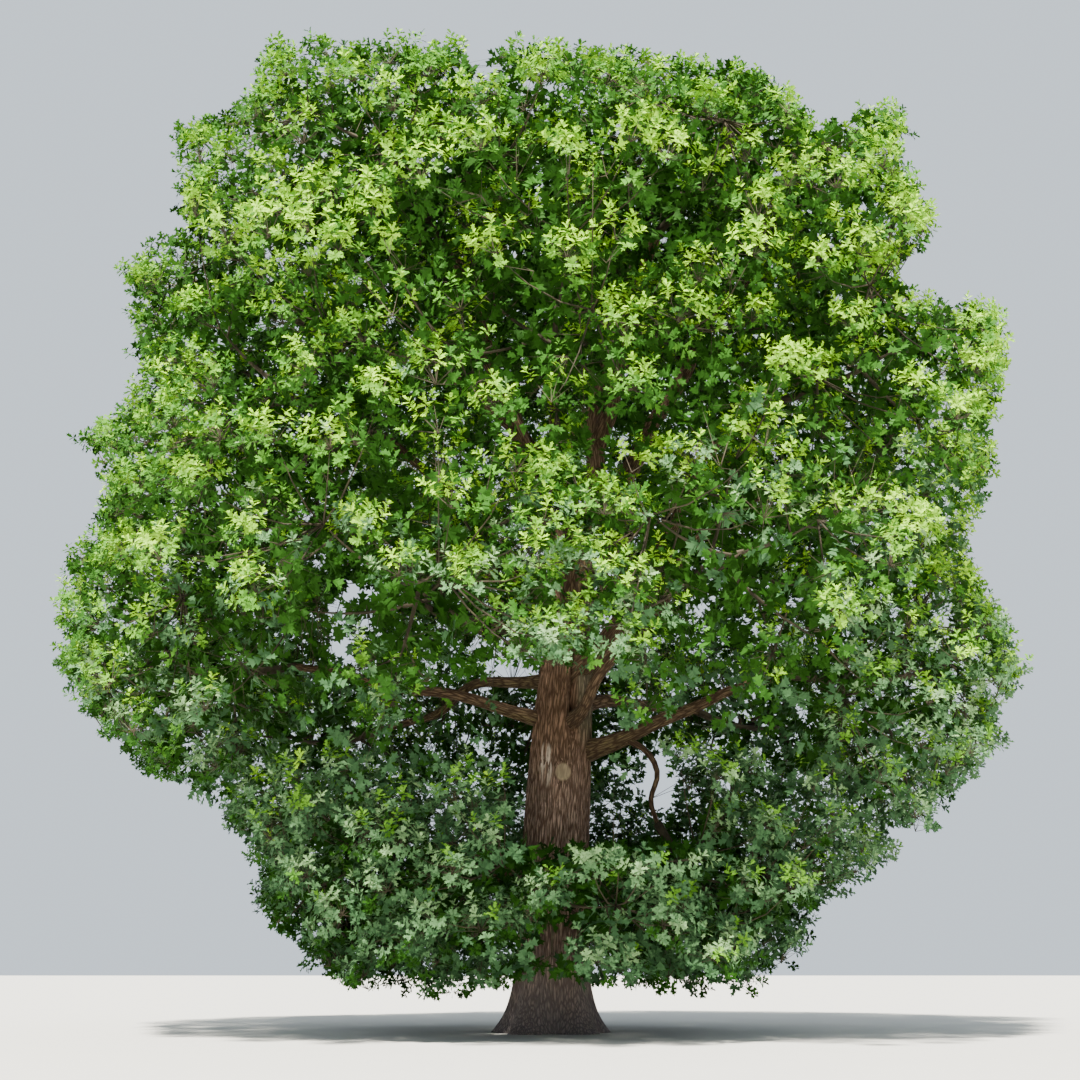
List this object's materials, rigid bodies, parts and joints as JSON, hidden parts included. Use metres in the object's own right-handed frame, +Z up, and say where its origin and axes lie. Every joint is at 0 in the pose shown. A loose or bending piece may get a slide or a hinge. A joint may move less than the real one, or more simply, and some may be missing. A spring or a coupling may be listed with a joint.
{
  "type": "large spreading oak tree",
  "caption": "Mature open-grown oak rooted in level ground: flared trunk, spreading boughs and a broad, dense crown of leafy masses down to head height.",
  "frame": {"origin": "middle of the flat cut under the trunk, at ground level", "axes": "+Z up along the trunk; -Y is the side seen in the picture, with the opening in the crown that shows the trunk; +X is to the right of that view"},
  "size_m": [28.5988, 25.7873, 26.8266],
  "materials": {
    "bark": "rough, deeply fissured grey-brown bark",
    "leaves": "satin green leaves"
  },
  "bodies": {
    "root": {"bough_lower_1": "bark", "bough_lower_2": "bark", "bough_lower_3": "bark", "bough_lower_4": "bark", "bough_lower_5": "bark", "bough_lower_6": "bark", "bough_lower_7": "bark", "bough_middle_1": "bark", "bough_middle_2": "bark", "bough_middle_3": "bark", "bough_middle_4": "bark", "bough_middle_5": "bark", "bough_middle_6": "bark", "bough_middle_7": "bark", "bough_skirt_1": "bark", "bough_skirt_2": "bark", "bough_skirt_3": "bark", "bough_skirt_4": "bark", "bough_skirt_5": "bark", "bough_skirt_6": "bark", "bough_top_1": "bark", "bough_top_2": "bark", "bough_top_3": "bark", "bough_upper_1": "bark", "bough_upper_2": "bark", "bough_upper_3": "bark", "bough_upper_4": "bark", "bough_upper_5": "bark", "bough_upper_6": "bark", "foliage_lower_1": "leaves", "foliage_lower_2": "leaves", "foliage_lower_3": "leaves", "foliage_lower_4": "leaves", "foliage_lower_5": "leaves", "foliage_lower_6": "leaves", "foliage_lower_7": "leaves", "foliage_middle_1": "leaves", "foliage_middle_2": "leaves", "foliage_middle_3": "leaves", "foliage_middle_4": "leaves", "foliage_middle_5": "leaves", "foliage_middle_6": "leaves", "foliage_middle_7": "leaves", "foliage_skirt_1": "leaves", "foliage_skirt_2": "leaves", "foliage_skirt_3": "leaves", "foliage_skirt_4": "leaves", "foliage_skirt_5": "leaves", "foliage_skirt_6": "leaves", "foliage_top_1": "leaves", "foliage_top_2": "leaves", "foliage_top_3": "leaves", "foliage_upper_1": "leaves", "foliage_upper_2": "leaves", "foliage_upper_3": "leaves", "foliage_upper_4": "leaves", "foliage_upper_5": "leaves", "foliage_upper_6": "leaves", "trunk": "bark"}
  },
  "joints": []
}
